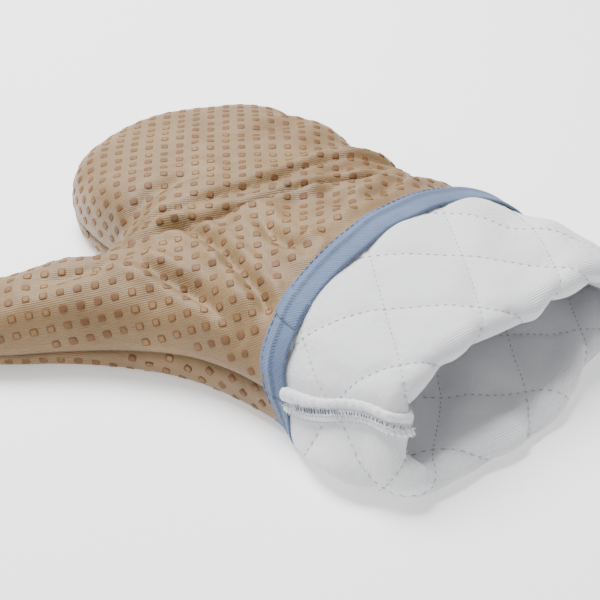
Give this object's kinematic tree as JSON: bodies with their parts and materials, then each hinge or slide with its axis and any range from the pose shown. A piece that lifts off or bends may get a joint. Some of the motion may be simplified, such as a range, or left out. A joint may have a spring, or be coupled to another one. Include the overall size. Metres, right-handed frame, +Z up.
{
  "type": "oven mitt",
  "caption": "Quilted oven mitt with silicone grip pads, bias-bound cuff and its padded lining pulled part way out and turned back in.",
  "frame": {"origin": "on the surface the mitt lies on, under the middle of the palm, 60 mm from the cuff binding", "axes": "+Y to the fingertips, thumb towards -X, +Z up from the palm side to the back"},
  "size_m": [0.2447, 0.2925, 0.0621],
  "materials": {
    "shell_cloth": "fine-ribbed tan cotton with a soft sheen",
    "silicone": "translucent caramel silicone, satin",
    "wadding": "loose polyester wadding",
    "lining_cloth": "white quilted cotton, matt",
    "binding_tape": "grey-blue cotton twill tape, matt",
    "white_thread": "white spun thread",
    "blue_thread": "blue spun thread",
    "tan_thread": "tan spun thread"
  },
  "bodies": {
    "root": {"back_shell": "shell_cloth", "palm_shell": "shell_cloth", "back_grip_pads": "silicone", "palm_grip_pads": "silicone", "back_wadding": "wadding", "palm_wadding": "wadding", "back_lining": "lining_cloth", "palm_lining": "lining_cloth", "lining_seam_flap": "lining_cloth", "overlock_thread": "white_thread", "cuff_binding": "binding_tape", "binding_topstitch": "blue_thread", "back_quilting_thread": "white_thread", "palm_quilting_thread": "white_thread", "shell_seam_thread": "tan_thread"}
  },
  "joints": []
}
